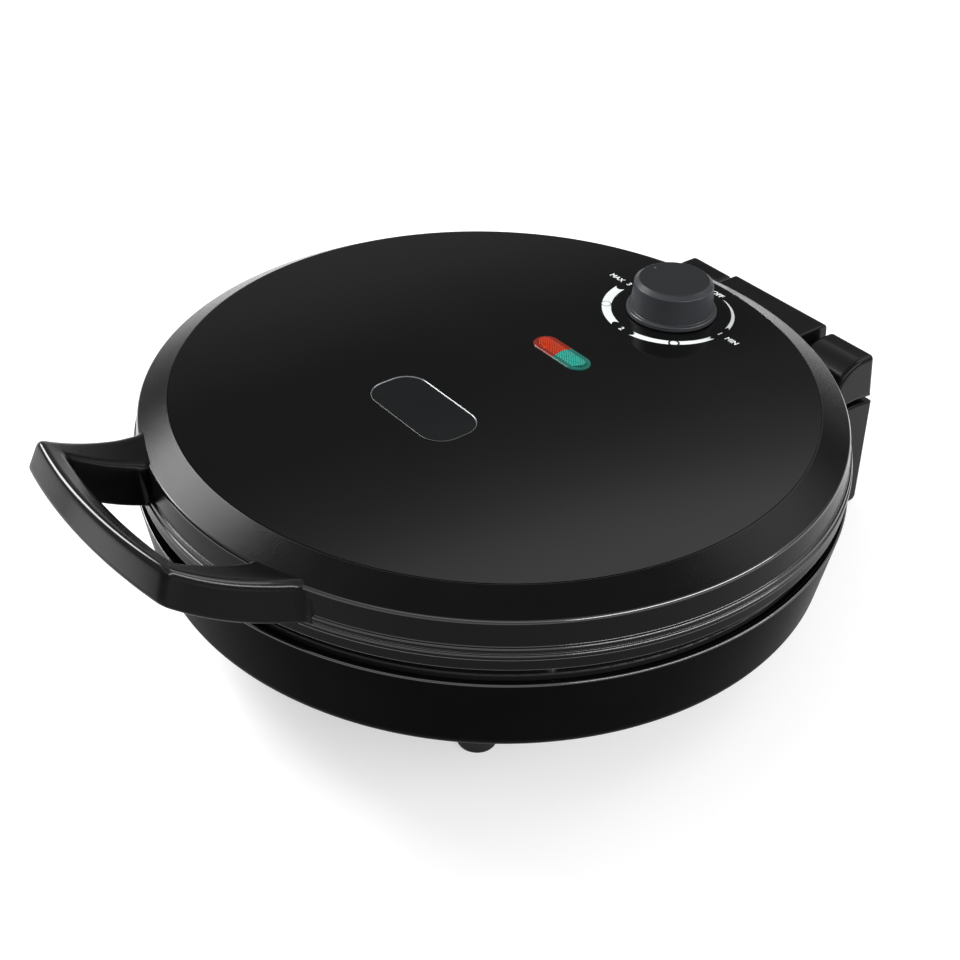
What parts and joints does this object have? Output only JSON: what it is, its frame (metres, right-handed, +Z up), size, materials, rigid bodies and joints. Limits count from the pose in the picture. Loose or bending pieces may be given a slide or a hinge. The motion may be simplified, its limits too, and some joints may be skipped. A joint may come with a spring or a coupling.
{
  "type": "pizza maker",
  "caption": "Round electric pizza maker with a hinged lid, a loop handle, a gloss top panel with a dial knob and two lamps, and two heated pans inside",
  "frame": {"origin": "The middle of the whole object's bounding box in plan, at the height of the table that the feet stand on.", "axes": "X runs to the object's right as its user stands before the handle, Y from the handle back to the hinge, Z up from the table."},
  "size_m": [0.347, 0.4292, 0.1396],
  "materials": {
    "housing_plastic": "satin, fine moulded grain",
    "lid_panel_gloss": "gloss black",
    "nameplate": "satin",
    "knob_plastic": "satin",
    "bezel_plastic": "gloss",
    "red_lens": "translucent, ribbed",
    "green_lens": "translucent, ribbed",
    "lamp_glass": "clear",
    "inner_plastic": "matt",
    "nonstick_plate": "matt non-stick",
    "aluminised_sheet": "rolled",
    "element_sheath": "heat-stained",
    "zinc_steel": "zinc plated",
    "thermostat_body": "matt",
    "shaft_steel": "turned",
    "bottom_plastic": "matt",
    "foot_rubber": "matt",
    "screw_steel": "plated"
  },
  "bodies": {
    "base": {"base_housing": "housing_plastic", "hinge_ear_left": "housing_plastic", "hinge_ear_right": "housing_plastic", "hinge_shaft": "shaft_steel", "hinge_washers": "shaft_steel", "bottom_cover": "bottom_plastic", "cord_inlet_bush": "foot_rubber", "terminal_block": "inner_plastic", "lower_reflector": "aluminised_sheet", "lower_element": "element_sheath", "lower_element_clamps": "zinc_steel", "lower_thermal_fuse": "zinc_steel", "lower_fuse_strap": "zinc_steel", "lower_plate": "nonstick_plate", "lower_plate_screws": "screw_steel", "bottom_cover_screws": "screw_steel", "foot_screws": "screw_steel", "hinge_ear_screws": "screw_steel", "foot_front_left": "foot_rubber", "foot_front_right": "foot_rubber", "foot_rear_left": "foot_rubber", "foot_rear_right": "foot_rubber"},
    "lid": {"lid_rim": "housing_plastic", "lid_panel": "lid_panel_gloss", "nameplate": "nameplate", "lamp_bezel": "bezel_plastic", "lens_red": "red_lens", "lens_green": "green_lens", "lamp_holder": "inner_plastic", "lamp_red": "lamp_glass", "lamp_green": "lamp_glass", "upper_reflector": "aluminised_sheet", "upper_element": "element_sheath", "upper_element_clamps": "zinc_steel", "upper_thermal_fuse": "zinc_steel", "upper_fuse_strap": "zinc_steel", "upper_plate": "nonstick_plate", "upper_plate_screws": "screw_steel", "thermostat_bracket": "zinc_steel", "thermostat": "thermostat_body", "hinge_arm": "housing_plastic", "hinge_arm_screws": "screw_steel"},
    "knob": {"dial_knob": "knob_plastic", "thermostat_shaft": "shaft_steel"}
  },
  "joints": [
    {"name": "lid_hinge", "type": "hinge", "parent": "base", "child": "lid", "pos_m": [0, 0.19643, 0.083], "axis": [-1, 0, 0], "range_deg": [0, 105]},
    {"name": "knob_turn", "type": "hinge", "parent": "lid", "child": "knob", "pos_m": [0, 0.12193, 0.1213], "axis": [0, 0, 1], "range_deg": [0, 270]}
  ]
}
